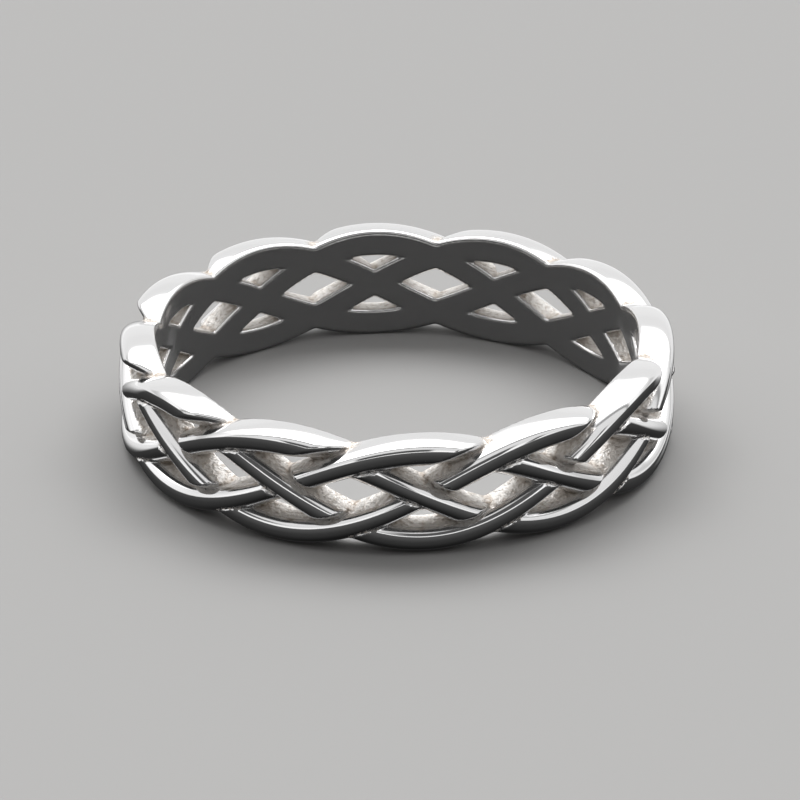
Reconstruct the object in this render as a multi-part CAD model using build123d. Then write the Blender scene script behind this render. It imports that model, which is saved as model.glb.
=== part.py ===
"""Woven band ring: a flat plait of four strands, cast in one piece round a plain bore.

Millimetres. The ring lies on its side: its axis is Z, and it stands on the plane z = 0.
Angles run round the axis from the front, which is -Y, towards +X.

One repeat of the plait takes a pitch angle. Each strand swings from the lower edge to
the upper edge and back in four pitches. It goes over, under and over the strands that
it meets on the way up, and under, over and under on the way down. So what shows of the
strands is three kinds of leaf, one of each in every repeat: a low leaf along the lower
edge, a high leaf along the upper edge, and a middle leaf that slants down between them.
"""
from build123d import *
import os
from math import cos, hypot, pi, radians, sin

# Driving dimensions
BORE_DIAMETER = 17.3
WALL = 1.34
BAND_WIDTH = 4.2
STRAND_WIDTH = 0.95
CROWN_RISE = 0.70
SIDE_BULGE = 0.04
REPEATS = 12
FRONT_ANGLE = 5.5

# A leaf is drawn from one hidden end to the other. Columns: the place along the leaf in
# pitches from the crossing where it dives under, the height above the bore as a share of
# WALL, and the width as a share of STRAND_WIDTH.
LONG_LEAF = [
    # place, height, width
    (0.00, 0.50, 0.84),
    (0.10, 0.63, 0.92),
    (0.20, 0.85, 0.98),
    (0.32, 0.97, 1.00),
    (0.50, 1.00, 1.00),
    (0.75, 0.99, 1.00),
    (1.00, 0.96, 1.00),
    (1.20, 0.88, 0.99),
    (1.36, 0.71, 0.92),
    (1.50, 0.50, 0.84),
]
SHORT_LEAF = [
    # place, height, width
    (0.00, 0.50, 0.84),
    (0.10, 0.63, 0.92),
    (0.20, 0.85, 0.98),
    (0.32, 0.97, 1.00),
    (0.50, 1.00, 1.00),
    (0.68, 0.97, 1.00),
    (0.80, 0.85, 0.98),
    (0.90, 0.63, 0.92),
    (1.00, 0.50, 0.84),
]

# Where a strand is on its way, in pitches since it was at the lower edge
FULL_SWING = 4
UPPER_EDGE = FULL_SWING / 2
RISING_DIVE = 1
FALLING_DIVE = 2.5

# Sizes that follow from them
bore_radius = BORE_DIAMETER / 2
core_radius = bore_radius - WALL / 2
pitch = 360 / REPEATS
pitch_length = 2 * pi * (bore_radius + WALL / 2) / REPEATS
phase_per_pitch = 2 * pi / FULL_SWING
swing = (BAND_WIDTH - STRAND_WIDTH) / 2 - SIDE_BULGE
middle = BAND_WIDTH / 2


def section(turn, height, width):
    """A strand's outline in the plane through the ring's axis, as a closed wire."""
    phase = turn * phase_per_pitch
    centre = middle - swing * cos(phase)
    slope = swing * sin(phase) * phase_per_pitch / pitch_length
    half = width * STRAND_WIDTH / 2 * hypot(1, slope)
    crest = bore_radius + height * WALL
    shoulder = bore_radius + height * (WALL - CROWN_RISE)
    belly = (core_radius + shoulder) / 2
    angle = radians(FRONT_ANGLE + (turn - UPPER_EDGE) * pitch)
    outwards = (sin(angle), -cos(angle), 0)
    plane = Plane((0, 0, 0), x_dir=outwards, z_dir=(-cos(angle), -sin(angle), 0))

    def at(radius, side):
        return plane.from_local_coords((radius, centre + side, 0))

    inner = Edge.make_line(at(core_radius, half), at(core_radius, -half))
    lower = Edge.make_three_point_arc(
        at(core_radius, -half), at(belly, -half - SIDE_BULGE), at(shoulder, -half)
    )
    crown = Edge.make_three_point_arc(at(shoulder, -half), at(crest, 0), at(shoulder, half))
    upper = Edge.make_three_point_arc(
        at(shoulder, half), at(belly, half + SIDE_BULGE), at(core_radius, half)
    )
    return Wire([inner, lower, crown, upper])


def leaf(start, direction, table):
    """A leaf lofted along the strand from the crossing at start, forwards or backwards."""
    wires = [section(start + direction * place, height, width) for place, height, width in table]
    return Solid.make_loft(wires)


def woven_band():
    """All the leaves fused into one casting, bored through."""
    high = leaf(RISING_DIVE, 1, LONG_LEAF)
    low = leaf(RISING_DIVE, -1, LONG_LEAF)
    slanting = leaf(FALLING_DIVE, 1, SHORT_LEAF)
    leaves = [
        piece.rotate(Axis.Z, repeat * pitch)
        for repeat in range(REPEATS)
        for piece in (high, slanting, low)
    ]
    plait = leaves[0].fuse(*leaves[1:])
    bore = Solid.make_cylinder(bore_radius, 2 * BAND_WIDTH, Plane((0, 0, -BAND_WIDTH / 2)))
    return plait.cut(bore)


os.makedirs("parts", exist_ok=True)
export_step(woven_band(), "parts/woven_band.step")
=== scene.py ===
"""Looks of the woven band ring: the polished and frosted silver, the floor, the light and the camera.

The ring's skin is one closed mesh drawn round the four strands of the plait. Its lengths are
millimetres until the mesh is made, in metres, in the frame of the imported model.

Angles run round the ring's axis from the front, which is -Y, towards +X. A place counts pitches
round the ring from FRONT_ANGLE. A turn counts the pitches that a strand has run since it was
last at the lower edge. At place 0 the strand of turn 2 is at the upper edge.
"""
import itertools
import math

import bpy
import numpy as np
from mathutils import Matrix, Vector


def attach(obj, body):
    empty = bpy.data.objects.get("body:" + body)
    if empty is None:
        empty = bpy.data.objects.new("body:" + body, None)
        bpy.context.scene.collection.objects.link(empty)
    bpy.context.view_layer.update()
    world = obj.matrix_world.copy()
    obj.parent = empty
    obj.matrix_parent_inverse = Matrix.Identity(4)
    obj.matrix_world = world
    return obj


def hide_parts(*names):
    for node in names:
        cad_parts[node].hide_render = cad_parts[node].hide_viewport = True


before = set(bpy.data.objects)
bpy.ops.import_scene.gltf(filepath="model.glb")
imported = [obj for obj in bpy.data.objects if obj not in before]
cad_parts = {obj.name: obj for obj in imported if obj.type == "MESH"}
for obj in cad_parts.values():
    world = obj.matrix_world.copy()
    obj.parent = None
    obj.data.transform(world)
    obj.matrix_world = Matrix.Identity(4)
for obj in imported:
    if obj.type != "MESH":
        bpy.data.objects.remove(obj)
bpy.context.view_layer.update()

MM = 0.001

# The plait: how often it repeats round the ring, its strands, and the angle of place 0. A strand
# swings up and down once in as many pitches as there are strands.
REPEATS = 12
STRANDS = 4
FRONT_ANGLE = math.radians(5.5)
# The turns at which a strand is at the band's edges, and how far a pitch takes it in its swing
LOWER_EDGE = 0
UPPER_EDGE = STRANDS / 2
PHASE_PER_PITCH = 2 * math.pi / STRANDS

# A strand's width and how far its sides bulge, as shares of the band's width
STRAND_SHARE = 0.226
BULGE_SHARE = 0.0095

# The crown on top of a strand, along the gaps and along the band's edge: its height as a share
# of the wall, and its power, where 2 makes an ellipse and more makes a squarer curve
CROWN_SHARE = 0.64
EDGE_CROWN_SHARE = 0.88
CROWN_POWER = 2.0
EDGE_CROWN_POWER = 3.0
# A point's reach is 1 on the crown's curve, and the least one keeps it from being divided by 0
LEAST_REACH = 1e-6

# How near surfaces blend, in millimetres: where strands meet, and at the rim of the bore
FILLET = 0.07
RIM = 0.18

# Where a strand dives under another. Columns: the turn, how many turns ahead the strand over
# it is, and in that strand's widths, off its middle line, where the dive's floor ends and
# where the full height begins, first on the lower side of that strand, then on the upper.
DIVES = [
    # turn, ahead, floor_below, full_below, floor_above, full_above
    (1.0, 2, 0.00, 0.36, 0.40, 0.82),
    (2.5, -1, 0.00, 0.36, 0.40, 1.20),
    (3.5, 1, 0.00, 0.36, 0.22, 0.68),
]
# How deep a dive is, as a share of the wall, and how far from its turn it reaches, in turns
DIVE_DEPTH = 0.5
DIVE_SPAN = 0.9
# How much lower the crest is at the band's edges, as a share of the wall, and for how many turns
ARC_DROP = 0.04
ARC_REACH = 0.45

# The mesh's grid: its cells round one repeat, a cell's side up and outwards in millimetres, and
# the empty cells on each side of the metal
CELLS_ROUND = 42
CELL = 0.092
MARGIN_CELLS = 2
# The four cells round an edge of the grid, by the edge's direction (round, up, out), as steps
# from the edge, anticlockwise as the edge's far end sees them
CELLS_ABOUT_EDGE = [
    ((0, -1, -1), (0, 0, -1), (0, 0, 0), (0, -1, 0)),
    ((-1, 0, -1), (-1, 0, 0), (0, 0, 0), (0, 0, -1)),
    ((-1, -1, 0), (0, -1, 0), (0, 0, 0), (-1, 0, 0)),
]

# Slopes are measured over this many millimetres each way, and their squares are at least this
SLOPE_STEP = 0.004
LEAST_SQUARE = 0.05
# How many moves put a point onto the skin
SETTLINGS = 3
# How many rounds even the net out, and how far each takes a point to its neighbours' middle
SMOOTHINGS = 6
SMOOTHING_SHARE = 0.5

# Where the cast skin of the gaps begins, and over how much it fades in: by the height over the
# bore as a share of the wall, by the depth of a dive, and by how much the skin faces outwards
POLISH_ENDS = 0.50
POLISH_FADE = 0.10
POLISH_DIVES = 0.03
STEEP = 0.42
STEEP_FADE = 0.14

# A corner is where two strands are equally near. It ends where one is nearer by this many
# millimetres, low in a gap and high on the band. It is as small as high on the band down to the
# rise, and grows over the fade below it, both as shares of the wall.
CORNER_LOW = 0.22
CORNER_HIGH = 0.06
CORNER_RISE = 0.8
CORNER_FADE = 0.3

# Where the bore's own finish ends, as shares of the wall, and how frosted that finish is
BORE_ENDS = 0.04
BORE_FADE = 0.06
BORE_SATIN = 0.12

# The silver where it is polished, where it is frosted, and where it is tarnished
POLISHED_COLOUR = (0.89, 0.886, 0.886, 1)
FROSTED_COLOUR = (0.91, 0.88, 0.845, 1)
TARNISH_COLOUR = (0.35, 0.265, 0.19, 1)
POLISHED_ROUGHNESS = 0.085
FROSTED_ROUGHNESS = 0.42
FROSTED_METALLIC = 0.35

# The grain and the lumps of the cast skin, per metre, their relief in metres, and the frost
# where the relief begins
GRAIN_SCALE = 6000
GRAIN_DETAIL = 2
LUMP_SCALE = 2200
LUMP_DETAIL = 3
RELIEF = 0.0001
RELIEF_STARTS = 0.185

# How high the grain is where its tarnish begins and is full, and how strong it is then
PITS_BEGIN = 0.5
PITS_FULL = 0.7
PITS_TARNISH = 0.5

# The floor: half its side in metres, and its finish
FLOOR_REACH = 0.6
FLOOR_COLOUR = (0.36, 0.356, 0.352, 1)
FLOOR_ROUGHNESS = 0.9

# The soft light's brightness over the top of the ring, by degrees from the front, which go up to
# the half turn at the back
HALF_TURN = 180
LIGHT_SWEEP = [
    # angle, level
    (0, 1.00),
    (54, 1.00),
    (72, 0.68),
    (94, 0.74),
    (96.5, 0.20),
    (99.5, 0.20),
    (102.5, 0.95),
    (122, 1.00),
    (143, 0.70),
    (149, 0.54),
    (155, 0.54),
    (160, 0.80),
    (180, 0.85),
]

# The soft light is a round patch of the sky. Its tilt backwards, how far it reaches from its
# middle and how far it fades beyond that are in degrees.
LIGHT_TILT = 25
LIGHT_EDGE = 70
LIGHT_FADE = 4

# Each side of a patch of light or shade is a pair: where the patch begins and where it is full.
# Sides over the top are in degrees from the front. Sides across and up are where a direction of
# length 1 ends, along X and Z.
# The dark streak in the soft light: its sides over the top, and those of its pieces across
STREAK_OVER = ((49, 51), (76, 72))
STREAK_PIECES = [
    # left side, right side
    ((-0.58, -0.52), (0.26, 0.18)),
    ((0.48, 0.52), (0.64, 0.60)),
]
# The lamp in the soft light, behind the ring: its sides over the top, and its two ends across
LAMP_OVER = ((103, 109), (147, 126))
LAMP_END = (0.70, 0.45)
LAMP_LEVEL = 4.5
# The glow behind the ring: its rim in degrees from straight behind, and its lower side
GLOW_RIM = (56, 44)
GLOW_BOTTOM = (-0.52, -0.05)
GLOW_LEVEL = 0.85

# The dark room: its brightness straight below, and the full one, with the heights where they are
ROOM_BELOW = 0.008
ROOM_LEVEL = 0.085
STRAIGHT_BELOW = -1.0
ROOM_FULL = 0.5

# The camera, fitted to the photograph. Lengths are metres, the lens and the sensor millimetres.
# What is nearer or farther than the ring by more than the clip factor isn't seen.
CAMERA_ELEVATION = math.radians(24.57)
CAMERA_YAW = math.radians(-0.029)
CAMERA_PITCH = math.radians(0.548)
CAMERA_ROLL = math.radians(0.090)
CAMERA_DISTANCE = 0.2286
CAMERA_AIM_HEIGHT = 0.00375
CAMERA_LENS = 286.6
SENSOR_WIDTH = 36.0
CLIP_FACTOR = 10


def measure(node):
    """The bore's radius, the wall and the band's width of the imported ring, in millimetres."""
    corners = np.array([v.co for v in node.data.vertices]) / MM
    radius = np.hypot(corners[:, 0], corners[:, 1])
    width = corners[:, 2].max() - corners[:, 2].min()
    return radius.min(), radius.max() - radius.min(), width


bore_radius, wall, band_width = measure(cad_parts["woven_band"])
strand_width = STRAND_SHARE * band_width
bulge = BULGE_SHARE * band_width
crown = CROWN_SHARE * wall
edge_crown = EDGE_CROWN_SHARE * wall
swing = (band_width - strand_width) / 2 - bulge
middle = band_width / 2
pitch = 2 * math.pi / REPEATS
pitch_length = pitch * (bore_radius + wall / 2)
# The strands' sides bulge from this radius, which the bore cuts off, up to their shoulders
core_radius = bore_radius - wall / 2


def smooth_min(a, b, reach):
    """The lower of two fields, blended where they are nearer to each other than reach."""
    blend = np.maximum(reach - np.abs(a - b), 0) / reach
    return np.minimum(a, b) - blend * blend * reach / 4


def ease(x):
    """A smooth step from 0 at 0 to 1 at 1."""
    x = np.clip(x, 0, 1)
    return x * x * (3 - 2 * x)


def turns_at(place):
    """The turns of the strands at a place."""
    return [(place + UPPER_EDGE + k) % STRANDS for k in range(STRANDS)]


def from_turn(turn, centre):
    """How far a turn is past centre, the short way round the strand's swing."""
    return (turn - centre + STRANDS / 2) % STRANDS - STRANDS / 2


def strand_centre(turn):
    """Height of the strand's middle line."""
    return middle - swing * np.cos(turn * PHASE_PER_PITCH)


def off_strand(turn, height):
    """How far a height is over the strand's middle line, square to it."""
    slope = swing * np.sin(turn * PHASE_PER_PITCH) * PHASE_PER_PITCH / pitch_length
    return (height - strand_centre(turn)) / np.hypot(1, slope)


def dive(turn, height):
    """1 where the strand lies under another, falling to 0 beside that one."""
    depth = 0
    for centre, ahead, floor_below, full_below, floor_above, full_above in DIVES:
        near = ease((DIVE_SPAN - np.abs(from_turn(turn, centre))) / (DIVE_SPAN / 2))
        off = off_strand(turn + ahead, height) / strand_width
        below = (-off - floor_below) / (full_below - floor_below)
        above = (off - floor_above) / (full_above - floor_above)
        depth = np.maximum(depth, near * (1 - ease(np.where(off < 0, below, above))))
    return depth


def crest_share(turn, height):
    """How high over the bore the strand's crest would be here, as a share of the wall."""
    low_arc = np.exp(-((from_turn(turn, LOWER_EDGE) / ARC_REACH) ** 2))
    high_arc = np.exp(-((from_turn(turn, UPPER_EDGE) / ARC_REACH) ** 2))
    drop = ARC_DROP * (low_arc + high_arc)
    return 1 - drop - (DIVE_DEPTH - drop) * dive(turn, height)


def at_edge(turn, side):
    """1 on the side of a strand that makes the band's edge, 0 on its sides along the gaps."""
    return ease(-np.cos(turn * PHASE_PER_PITCH) * np.sign(side))


def crown_skin(side, up, half, rise, power):
    """Distance from a crown's skin, a rounded curve that is half wide each way and rise high."""
    side_share = side / half
    up_share = up / rise
    reach = np.maximum((side_share**power + up_share**power) ** (1 / power), LEAST_REACH)
    side_slope = (side_share / reach) ** (power - 1) / half
    up_slope = (up_share / reach) ** (power - 1) / rise
    return (reach - 1) / np.hypot(side_slope, up_slope)


def strand(turn, height, radius):
    """Distance from the skin of the strand at this turn, below 0 inside it."""
    side = off_strand(turn, height)
    edge = at_edge(turn, side)
    side = np.abs(side)
    half = strand_width / 2 + edge * bulge
    share = crest_share(turn, height)
    rise = share * (crown + edge * (edge_crown - crown))
    shoulder = bore_radius + share * wall - rise
    power = CROWN_POWER + edge * (EDGE_CROWN_POWER - CROWN_POWER)
    top = crown_skin(side, np.maximum(radius - shoulder, 0), half, rise, power)
    down = np.clip((radius - core_radius) / (shoulder - core_radius), 0, 1)
    flank = side - half - (1 - edge) * bulge * np.sin(math.pi * down) ** 2
    return np.where(radius > shoulder, top, flank)


def skin(place, height, radius):
    """Distance from the ring's skin, below 0 in the metal."""
    each = np.sort([strand(turn, height, radius) for turn in turns_at(place)], axis=0)
    joined = smooth_min(smooth_min(each[0], each[1], FILLET), each[2], FILLET)
    return -smooth_min(-joined, radius - bore_radius, RIM)


def gradient(place, height, radius):
    """The skin's gradient round, up and out, per millimetre."""
    step = SLOPE_STEP
    place_step = step / (pitch * radius)
    round_part = skin(place + place_step, height, radius) - skin(place - place_step, height, radius)
    up_part = skin(place, height + step, radius) - skin(place, height - step, radius)
    out_part = skin(place, height, radius + step) - skin(place, height, radius - step)
    return np.stack([round_part, up_part, out_part]) / (2 * step)


def settle(points, steps=SETTLINGS):
    """Moves points onto the skin."""
    for _ in range(steps):
        slope = gradient(*points)
        square = np.maximum((slope**2).sum(0), LEAST_SQUARE)
        move = np.clip(-skin(*points) / square * slope, -CELL, CELL)
        points = points + np.stack([move[0] / (pitch * points[2]), move[1], move[2]])
    return points


def net():
    """One repeat of the skin as a net of squares: points, squares and each corner's repeat.

    A square's corners are numbers of points. A corner's repeat is 0, or -1 where its point is
    that of the repeat before.
    """
    margin = MARGIN_CELLS * CELL
    heights = np.arange(-margin, band_width + margin, CELL)
    radii = np.arange(bore_radius - margin, bore_radius + wall + margin, CELL)
    places = np.arange(CELLS_ROUND) / CELLS_ROUND
    metal = skin(*np.meshgrid(places, heights, radii, indexing="ij")) < 0

    # A cell of the grid holds a point of the net where only some of its corners are metal. The
    # last cells round end where the next repeat begins, which is as this one begins.
    closed = np.concatenate([metal, metal[:1]])
    across, up, out = (n - 1 for n in closed.shape)
    cell_corners = [
        closed[i:across + i, j:up + j, k:out + k]
        for i, j, k in itertools.product((0, 1), repeat=3)
    ]
    mixed = np.any(cell_corners, axis=0) & ~np.all(cell_corners, axis=0)
    number = np.full(mixed.shape, -1)
    number[mixed] = np.arange(mixed.sum())
    cells = np.argwhere(mixed)
    points = np.stack([
        (cells[:, 0] + 0.5) / CELLS_ROUND,
        heights[0] + (cells[:, 1] + 0.5) * CELL,
        radii[0] + (cells[:, 2] + 0.5) * CELL,
    ])

    # An edge of the grid that crosses the skin has a square, with corners in the four cells
    # round it. Its order is turned round where the edge runs into the metal.
    squares, repeats = [], []
    for axis, steps in enumerate(CELLS_ABOUT_EDGE):
        edges = np.argwhere(metal != np.roll(metal, -1, axis=axis))
        about = edges[:, None] + np.array(steps)
        corners = number[about[..., 0] % CELLS_ROUND, about[..., 1], about[..., 2]]
        repeat = np.where(about[..., 0] < 0, -1, 0)
        flip = ~metal[tuple(edges.T)]
        corners[flip] = corners[flip][:, ::-1]
        repeat[flip] = repeat[flip][:, ::-1]
        squares.append(corners)
        repeats.append(repeat)
    return points, np.concatenate(squares), np.concatenate(repeats)


def relax(points, squares, repeats):
    """Evens out the net: each point goes towards the middle of its neighbours, on the skin."""
    count = points.shape[1]
    start = squares.ravel()
    end = np.roll(squares, -1, axis=1).ravel()
    ahead = (np.roll(repeats, -1, axis=1) - repeats).ravel()
    neighbours = np.bincount(start, minlength=count) + np.bincount(end, minlength=count)
    for _ in range(SMOOTHINGS):
        total = np.stack([
            np.bincount(start, row[end] + shift, count) + np.bincount(end, row[start] - shift, count)
            for row, shift in zip(points, (ahead, 0, 0))
        ])
        points = settle(points + SMOOTHING_SHARE * (total / neighbours - points), 1)
    return settle(points)


def angles_all_round(points):
    """The points' angles in each of the repeats."""
    return [FRONT_ANGLE + (points[0] + repeat) * pitch for repeat in range(REPEATS)]


def all_round(points, squares, repeats):
    """The whole ring's vertices and faces from one repeat of the net."""
    count = points.shape[1]
    vertices, faces = [], []
    for repeat, angle in enumerate(angles_all_round(points)):
        vertices.append(np.stack([points[2] * np.sin(angle), -points[2] * np.cos(angle), points[1]], 1))
        faces.append((repeat + repeats) % REPEATS * count + squares)
    return np.concatenate(vertices), np.concatenate(faces)


def normals_all_round(points):
    """The skin's own normals for all_round's vertices."""
    slope = gradient(*points)
    slope = slope / np.sqrt((slope**2).sum(0))
    normals = []
    for angle in angles_all_round(points):
        across = np.stack([np.cos(angle), np.sin(angle)])
        out = np.stack([np.sin(angle), -np.cos(angle)])
        flat = slope[0] * across + slope[2] * out
        normals.append(np.stack([flat[0], flat[1], slope[1]], 1))
    return np.concatenate(normals)


def cast_skin(points):
    """How frosted the skin is, and how deep in a corner between strands, both from 0 to 1."""
    place, height, radius = points
    share = (radius - bore_radius) / wall
    turns = np.stack(turns_at(place))
    # The gaps lie between the middle lines of the lowest and the highest strand
    centres = strand_centre(turns)
    within = ease((centres.max(0) - height) / CELL) * ease((height - centres.min(0)) / CELL)
    off_bore = ease((share - BORE_ENDS) / BORE_FADE)

    slope = gradient(*points)
    outward = slope[2] / np.sqrt((slope**2).sum(0))
    each = np.stack([strand(turn, height, radius) for turn in turns])
    nearest = np.take_along_axis(turns, each.argmin(0)[None], 0)[0]
    deep = ease((POLISH_ENDS - share) / POLISH_FADE)
    steep = ease((STEEP - outward) / STEEP_FADE)
    dived = ease((dive(nearest, height) - POLISH_DIVES) / POLISH_FADE)
    gap = np.maximum.reduce([deep, steep, dived]) * within

    each = np.sort(each, axis=0)
    reach = CORNER_HIGH + (CORNER_LOW - CORNER_HIGH) * ease((CORNER_RISE - share) / CORNER_FADE)
    corner = ease(1 - (each[1] - each[0]) / reach) * off_bore
    frost = np.maximum(gap, corner) * off_bore + BORE_SATIN * (1 - off_bore)
    return frost, corner


def ring_skin():
    """The ring's closed skin as a Blender mesh object."""
    points, squares, repeats = net()
    points = relax(settle(points), squares, repeats)
    vertices, faces = all_round(points, squares, repeats)
    mesh = bpy.data.meshes.new("woven_band_skin")
    mesh.vertices.add(len(vertices))
    mesh.vertices.foreach_set("co", (vertices * MM).astype(np.float32).ravel())
    mesh.loops.add(faces.size)
    mesh.loops.foreach_set("vertex_index", faces.astype(np.int32).ravel())
    mesh.polygons.add(len(faces))
    mesh.polygons.foreach_set("loop_start", np.arange(0, faces.size, faces.shape[1], dtype=np.int32))
    mesh.update(calc_edges=True)
    mesh.polygons.foreach_set("use_smooth", np.ones(len(faces), bool))
    for name, values in zip(("frost", "corner"), cast_skin(points)):
        attribute = mesh.attributes.new(name, "FLOAT", "POINT")
        attribute.data.foreach_set("value", np.tile(values, REPEATS).astype(np.float32))
    mesh.normals_split_custom_set_from_vertices(normals_all_round(points).astype(np.float32))
    piece = bpy.data.objects.new("woven_band_skin", mesh)
    bpy.context.scene.collection.objects.link(piece)
    return piece


def nodes_of(owner):
    """Helpers to add and link nodes in the emptied node tree of a material or a world."""
    owner.use_nodes = True
    tree = owner.node_tree
    tree.nodes.clear()

    def add(kind, **settings):
        node = tree.nodes.new(kind)
        for name, value in settings.items():
            setattr(node, name, value)
        return node

    return add, tree.links.new


def silver():
    """Cast silver: polished on the strands, a frosted casting skin in the gaps, brown in its corners."""
    material = bpy.data.materials.new("silver")
    add, link = nodes_of(material)
    output = add("ShaderNodeOutputMaterial")
    shader = add("ShaderNodeBsdfPrincipled")
    link(shader.outputs["BSDF"], output.inputs["Surface"])
    place = add("ShaderNodeTexCoord")
    frost = add("ShaderNodeAttribute", attribute_name="frost")
    corner = add("ShaderNodeAttribute", attribute_name="corner")

    def noise(scale, detail):
        """Noise in the ring's own space, at a scale per metre."""
        node = add("ShaderNodeTexNoise")
        node.inputs["Scale"].default_value = scale
        node.inputs["Detail"].default_value = detail
        link(place.outputs["Object"], node.inputs["Vector"])
        return node.outputs["Fac"]

    def ramp(value, low, high, begin=0.0, end=1.0):
        """Low where the value is at its beginning, high where it is at its end."""
        node = add("ShaderNodeMapRange")
        node.inputs["From Min"].default_value = begin
        node.inputs["From Max"].default_value = end
        node.inputs["To Min"].default_value = low
        node.inputs["To Max"].default_value = high
        link(value, node.inputs["Value"])
        return node.outputs["Result"]

    def mix(share):
        """A mix of two colours, with this share of the second."""
        node = add("ShaderNodeMix", data_type="RGBA")
        link(share, node.inputs["Factor"])
        return node

    grain = noise(GRAIN_SCALE, GRAIN_DETAIL)
    lumps = noise(LUMP_SCALE, LUMP_DETAIL)

    # Tarnish in the corners, in patches, and in the pits of the frosted skin
    stained = add("ShaderNodeMath", operation="MULTIPLY")
    link(corner.outputs["Fac"], stained.inputs[0])
    link(lumps, stained.inputs[1])
    tarnish = add("ShaderNodeMath", operation="MULTIPLY_ADD")
    link(ramp(grain, 0.0, PITS_TARNISH, PITS_BEGIN, PITS_FULL), tarnish.inputs[0])
    link(frost.outputs["Fac"], tarnish.inputs[1])
    link(stained.outputs["Value"], tarnish.inputs[2])
    clean = mix(frost.outputs["Fac"])
    clean.inputs["A"].default_value = POLISHED_COLOUR
    clean.inputs["B"].default_value = FROSTED_COLOUR
    colour = mix(tarnish.outputs["Value"])
    link(clean.outputs["Result"], colour.inputs["A"])
    colour.inputs["B"].default_value = TARNISH_COLOUR
    link(colour.outputs["Result"], shader.inputs["Base Color"])

    link(ramp(frost.outputs["Fac"], POLISHED_ROUGHNESS, FROSTED_ROUGHNESS), shader.inputs["Roughness"])
    link(ramp(frost.outputs["Fac"], 1.0, FROSTED_METALLIC), shader.inputs["Metallic"])

    relief = add("ShaderNodeMath", operation="ADD")
    link(grain, relief.inputs[0])
    link(lumps, relief.inputs[1])
    bump = add("ShaderNodeBump")
    bump.inputs["Distance"].default_value = RELIEF
    link(relief.outputs["Value"], bump.inputs["Height"])
    link(ramp(frost.outputs["Fac"], 0.0, 1.0, RELIEF_STARTS), bump.inputs["Strength"])
    link(bump.outputs["Normal"], shader.inputs["Normal"])
    return material


def pale_floor():
    """The plain pale floor."""
    reach = FLOOR_REACH
    corners = [(-reach, -reach, 0), (reach, -reach, 0), (reach, reach, 0), (-reach, reach, 0)]
    mesh = bpy.data.meshes.new("floor")
    mesh.from_pydata(corners, [], [(0, 1, 2, 3)])
    floor = bpy.data.objects.new("floor", mesh)
    bpy.context.scene.collection.objects.link(floor)
    material = bpy.data.materials.new("floor")
    add, link = nodes_of(material)
    output = add("ShaderNodeOutputMaterial")
    shader = add("ShaderNodeBsdfPrincipled")
    shader.inputs["Base Color"].default_value = FLOOR_COLOUR
    shader.inputs["Roughness"].default_value = FLOOR_ROUGHNESS
    link(shader.outputs["BSDF"], output.inputs["Surface"])
    mesh.materials.append(material)
    floor.visible_glossy = False


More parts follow.
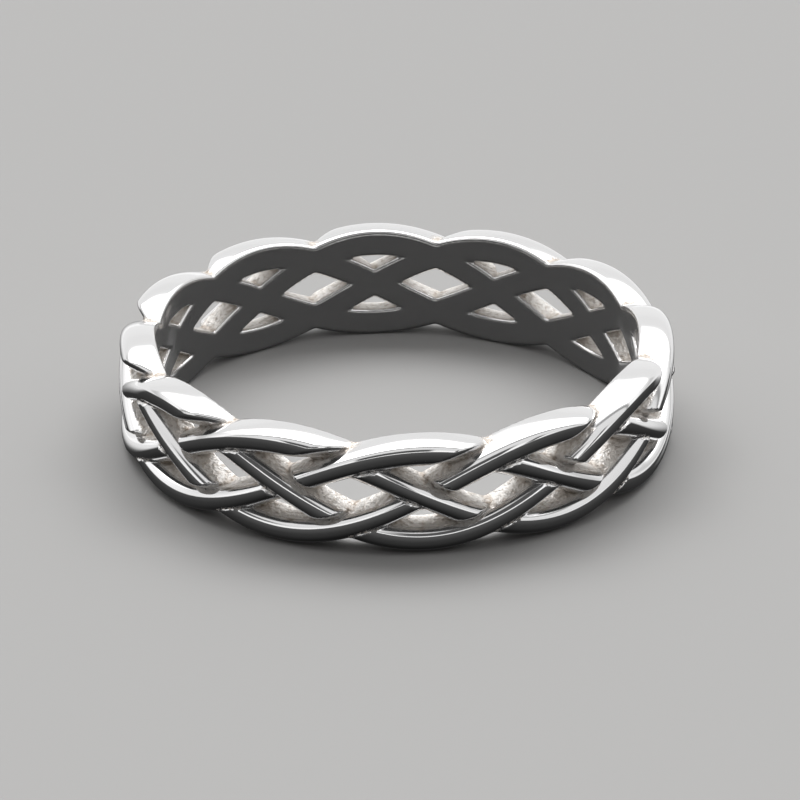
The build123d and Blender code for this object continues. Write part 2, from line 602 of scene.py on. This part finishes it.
def studio_light():
    """A wide soft light over the ring with a streak and a lamp in it, a glow behind, a dark room."""
    world = bpy.data.worlds.new("studio")
    bpy.context.scene.world = world
    add, link = nodes_of(world)
    output = add("ShaderNodeOutputWorld")
    background = add("ShaderNodeBackground")
    link(background.outputs["Background"], output.inputs["Surface"])
    direction = add("ShaderNodeTexCoord").outputs["Generated"]
    parts = add("ShaderNodeSeparateXYZ")
    link(direction, parts.inputs["Vector"])
    across = parts.outputs["X"]
    up = parts.outputs["Z"]

    def maths(operation, *values):
        node = add("ShaderNodeMath", operation=operation)
        for socket, value in zip(node.inputs, values):
            if isinstance(value, (int, float)):
                socket.default_value = value
            else:
                link(value, socket)
        return node.outputs["Value"]

    def soft_step(value, begin, full):
        """Light from 0 where it begins to 1 where it is full."""
        node = add("ShaderNodeMapRange", interpolation_type="SMOOTHSTEP")
        node.inputs["From Min"].default_value = begin
        node.inputs["From Max"].default_value = full
        link(value, node.inputs["Value"])
        return node.outputs["Result"]

    def between(value, side, other_side):
        """Light between two sides."""
        return maths("MULTIPLY", soft_step(value, *side), soft_step(value, *other_side))

    def towards(aim):
        """The cosine of the angle to a direction."""
        node = add("ShaderNodeVectorMath", operation="DOT_PRODUCT")
        node.inputs[1].default_value = aim
        link(direction, node.inputs[0])
        return node.outputs["Value"]

    # The angle over the top, as a share of the half turn from the front to the back
    over = maths("ARCTAN2", up, maths("MULTIPLY", parts.outputs["Y"], -1.0))
    over = maths("DIVIDE", maths("DEGREES", over), HALF_TURN)

    def between_angles(side, other_side):
        """Light between two sides that are given in degrees over the top."""
        return between(over, [a / HALF_TURN for a in side], [a / HALF_TURN for a in other_side])

    sweep = add("ShaderNodeValToRGB")
    link(over, sweep.inputs["Fac"])
    stops = sweep.color_ramp.elements
    # New stops start half way, and all get their places below
    while len(stops) < len(LIGHT_SWEEP):
        stops.new(position=0.5)
    brightest = max(level for angle, level in LIGHT_SWEEP)
    for stop, (angle, level) in zip(stops, LIGHT_SWEEP):
        stop.position = angle / HALF_TURN
        stop.color = (level / brightest, level / brightest, level / brightest, 1)

    tilt = math.radians(LIGHT_TILT)
    edge = math.radians(LIGHT_EDGE)
    fade = math.radians(LIGHT_FADE)
    lit = soft_step(towards((0, math.sin(tilt), math.cos(tilt))), math.cos(edge + fade), math.cos(edge))
    pieces = maths("ADD", *[between(across, *sides) for sides in STREAK_PIECES])
    unstreaked = maths("SUBTRACT", 1.0, maths("MULTIPLY", between_angles(*STREAK_OVER), pieces))
    softbox = maths("MULTIPLY", maths("MULTIPLY", sweep.outputs["Color"], lit), unstreaked)

    lamp_ends = soft_step(maths("ABSOLUTE", across), *LAMP_END)
    lamp = maths("MULTIPLY", between_angles(*LAMP_OVER), lamp_ends)
    rim = [math.cos(math.radians(angle)) for angle in GLOW_RIM]
    glow = maths("MULTIPLY", soft_step(towards((0, 1, 0)), *rim), soft_step(up, *GLOW_BOTTOM))

    room = add("ShaderNodeMapRange")
    room.inputs["From Min"].default_value = STRAIGHT_BELOW
    room.inputs["From Max"].default_value = ROOM_FULL
    room.inputs["To Min"].default_value = ROOM_BELOW
    room.inputs["To Max"].default_value = ROOM_LEVEL
    link(up, room.inputs["Value"])

    level = maths("MULTIPLY_ADD", softbox, brightest, room.outputs["Result"])
    level = maths("MULTIPLY_ADD", lamp, LAMP_LEVEL, level)
    level = maths("MAXIMUM", level, maths("MULTIPLY", glow, GLOW_LEVEL))
    link(level, background.inputs["Color"])


def turned(axis, angle):
    """A turn about one of the camera's own axes."""
    return Matrix.Rotation(angle, 3, axis)


def photo_camera():
    """The camera at the photograph's angle, distance and framing."""
    back = Vector((0, -math.cos(CAMERA_ELEVATION), math.sin(CAMERA_ELEVATION)))
    forward = -back
    right = forward.cross(Vector((0, 0, 1))).normalized()
    down = forward.cross(right)
    correction = turned("Z", CAMERA_ROLL) @ turned("X", CAMERA_PITCH) @ turned("Y", CAMERA_YAW)
    seen = correction @ Matrix((right, down, forward))
    axes = Matrix((seen[0], -seen[1], -seen[2])).transposed()
    data = bpy.data.cameras.new("camera")
    data.sensor_width = SENSOR_WIDTH
    data.lens = CAMERA_LENS
    data.clip_start = CAMERA_DISTANCE / CLIP_FACTOR
    data.clip_end = CAMERA_DISTANCE * CLIP_FACTOR
    camera = bpy.data.objects.new("camera", data)
    bpy.context.scene.collection.objects.link(camera)
    aim = Vector((0, 0, CAMERA_AIM_HEIGHT))
    camera.matrix_world = Matrix.Translation(aim + back * CAMERA_DISTANCE) @ axes.to_4x4()
    bpy.context.scene.camera = camera


photo_camera()
studio_light()
pale_floor()
ring = ring_skin()
ring.data.materials.append(silver())
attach(ring, "root")
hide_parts("woven_band")

bpy.context.scene.view_settings.view_transform = "Standard"
